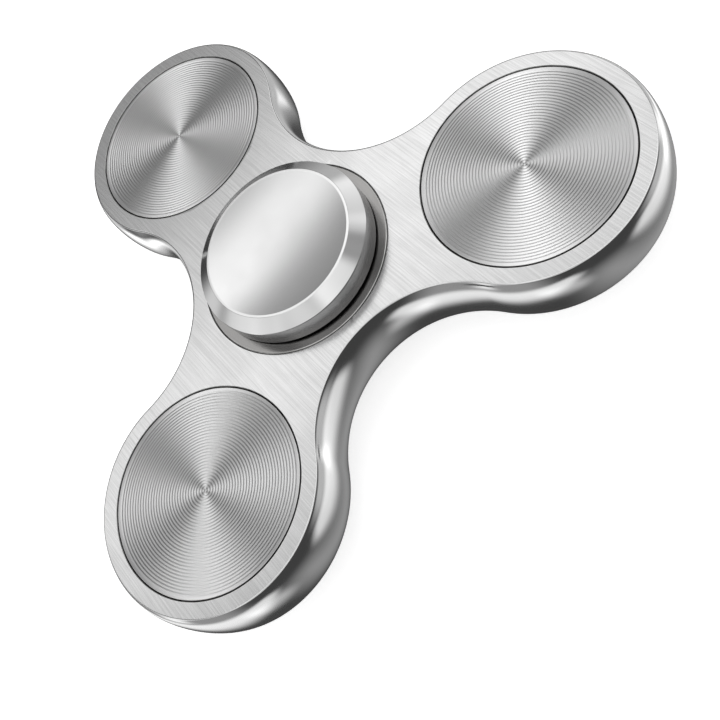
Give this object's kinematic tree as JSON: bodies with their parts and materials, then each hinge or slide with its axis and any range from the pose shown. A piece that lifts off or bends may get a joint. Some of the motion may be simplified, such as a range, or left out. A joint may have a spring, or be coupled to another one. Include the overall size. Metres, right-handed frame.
{
  "type": "fidget spinner",
  "caption": "Three-lobed metal fidget spinner: a brushed frame with ring-turned weights in its lobes, free to turn on a ball bearing between two finger buttons.",
  "frame": {"origin": "centre of the bearing, on the spin axis half-way through its thickness, which is also the centroid", "axes": "+Z along the spin axis towards the front button; +X towards the first lobe; the spinner lies flat in XY"},
  "size_m": [0.0658, 0.072, 0.0142],
  "materials": {
    "frame_metal": "faces finely brushed in one direction, rounded sides polished",
    "disc_metal": "fine concentric turned grooves",
    "button_steel": "satin dish, polished chamfer",
    "bearing_steel": "ground and polished",
    "ball_steel": "lapped",
    "shield_steel": "pressed sheet",
    "cage_steel": "pressed strip",
    "weight_steel": "sawn and turned",
    "stud_steel": "blackened"
  },
  "bodies": {
    "finger_hub": {"front_button": "button_steel", "rear_button": "button_steel", "joining_stud": "stud_steel", "bearing_inner_race": "bearing_steel"},
    "rotor": {"frame": "frame_metal", "bearing_outer_race": "bearing_steel", "front_shield": "shield_steel", "rear_shield": "shield_steel", "lobe_1_core_weight": "weight_steel", "lobe_1_front_disc": "disc_metal", "lobe_1_rear_disc": "disc_metal", "lobe_2_core_weight": "weight_steel", "lobe_2_front_disc": "disc_metal", "lobe_2_rear_disc": "disc_metal", "lobe_3_core_weight": "weight_steel", "lobe_3_front_disc": "disc_metal", "lobe_3_rear_disc": "disc_metal"},
    "ball_cage": {"front_cage_half": "cage_steel", "rear_cage_half": "cage_steel", "cage_rivets": "cage_steel"},
    "ball_1": {"bearing_ball_1": "ball_steel"},
    "ball_2": {"bearing_ball_2": "ball_steel"},
    "ball_3": {"bearing_ball_3": "ball_steel"},
    "ball_4": {"bearing_ball_4": "ball_steel"},
    "ball_5": {"bearing_ball_5": "ball_steel"},
    "ball_6": {"bearing_ball_6": "ball_steel"},
    "ball_7": {"bearing_ball_7": "ball_steel"}
  },
  "joints": [
    {"name": "rotor_spin", "type": "hinge", "parent": "finger_hub", "child": "rotor", "pos_m": [0, 0, 0], "axis": [0, 0, 1], "continuous": true},
    {"name": "cage_orbit", "type": "hinge", "parent": "finger_hub", "child": "ball_cage", "pos_m": [0, 0, 0], "axis": [0, 0, 1], "continuous": true},
    {"name": "ball_1_roll", "type": "hinge", "parent": "ball_cage", "child": "ball_1", "pos_m": [0.0075, 0, 0], "axis": [0, 0, 1], "continuous": true},
    {"name": "ball_2_roll", "type": "hinge", "parent": "ball_cage", "child": "ball_2", "pos_m": [0.00468, 0.00586, 0], "axis": [0, 0, 1], "continuous": true},
    {"name": "ball_3_roll", "type": "hinge", "parent": "ball_cage", "child": "ball_3", "pos_m": [-0.00167, 0.00731, 0], "axis": [0, 0, 1], "continuous": true},
    {"name": "ball_4_roll", "type": "hinge", "parent": "ball_cage", "child": "ball_4", "pos_m": [-0.00676, 0.00325, 0], "axis": [0, 0, 1], "continuous": true},
    {"name": "ball_5_roll", "type": "hinge", "parent": "ball_cage", "child": "ball_5", "pos_m": [-0.00676, -0.00325, 0], "axis": [0, 0, 1], "continuous": true},
    {"name": "ball_6_roll", "type": "hinge", "parent": "ball_cage", "child": "ball_6", "pos_m": [-0.00167, -0.00731, 0], "axis": [0, 0, 1], "continuous": true},
    {"name": "ball_7_roll", "type": "hinge", "parent": "ball_cage", "child": "ball_7", "pos_m": [0.00468, -0.00586, 0], "axis": [0, 0, 1], "continuous": true}
  ],
  "couplings": [
    {"joint": "cage_orbit", "follows": "rotor_spin", "ratio": 0.6323},
    {"joint": "ball_1_roll", "follows": "rotor_spin", "ratio": 1.7573},
    {"joint": "ball_2_roll", "follows": "rotor_spin", "ratio": 1.7573},
    {"joint": "ball_3_roll", "follows": "rotor_spin", "ratio": 1.7573},
    {"joint": "ball_4_roll", "follows": "rotor_spin", "ratio": 1.7573},
    {"joint": "ball_5_roll", "follows": "rotor_spin", "ratio": 1.7573},
    {"joint": "ball_6_roll", "follows": "rotor_spin", "ratio": 1.7573},
    {"joint": "ball_7_roll", "follows": "rotor_spin", "ratio": 1.7573}
  ]
}
